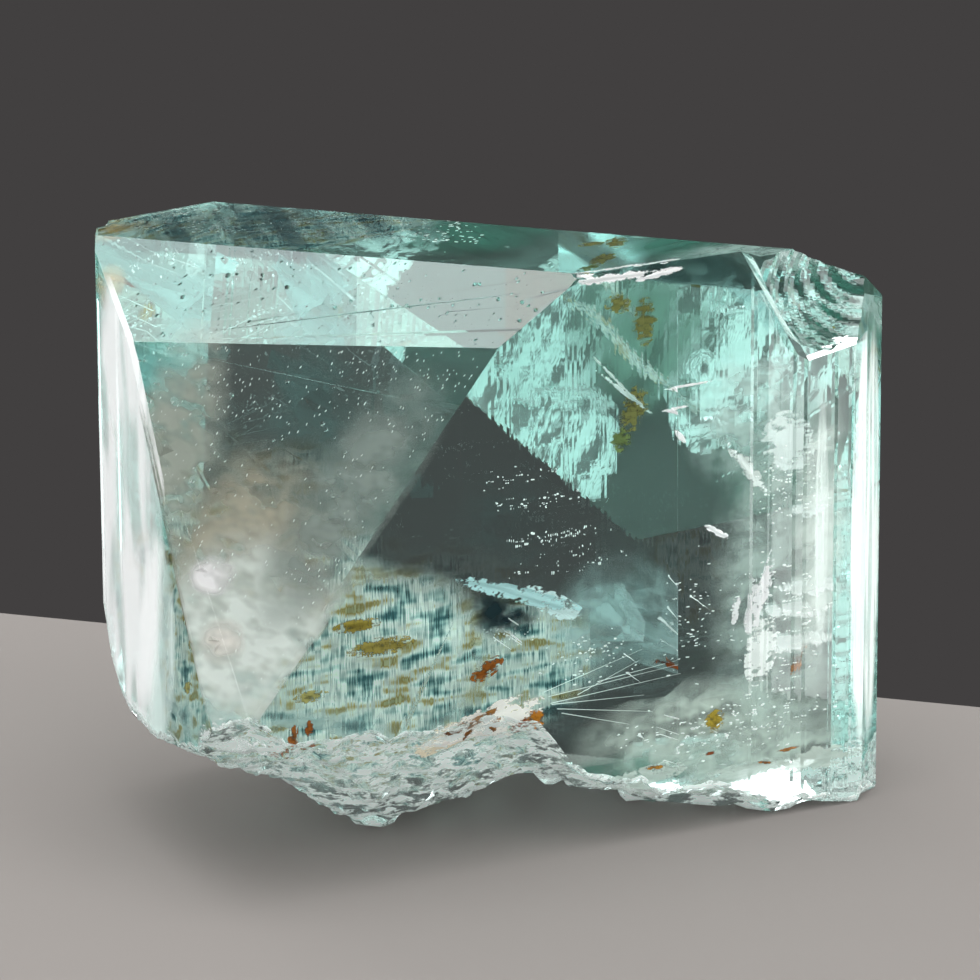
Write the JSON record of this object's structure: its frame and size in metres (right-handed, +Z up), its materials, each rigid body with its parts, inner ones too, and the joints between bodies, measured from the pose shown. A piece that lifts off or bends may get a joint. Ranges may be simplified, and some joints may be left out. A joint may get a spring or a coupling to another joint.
{
  "type": "topaz crystal",
  "caption": "Clear pale blue-green topaz crystal with a basal face, two front dome faces, grooved prism faces and a broken, partly cleaved foot that it stands on.",
  "frame": {"origin": "middle of the bounding box, on the plane that the crystal rests on", "axes": "+Z up along the long crystal axis, normal to the basal face; +X to the right and -Y to the front, where the two dome faces look"},
  "size_m": [0.0304, 0.0262, 0.0243],
  "materials": {
    "topaz": "clear pale blue-green crystal with flat natural faces, shallow upright grooves, etch pits and a broken foot"
  },
  "bodies": {
    "root": {"topaz_crystal": "topaz"}
  },
  "joints": []
}
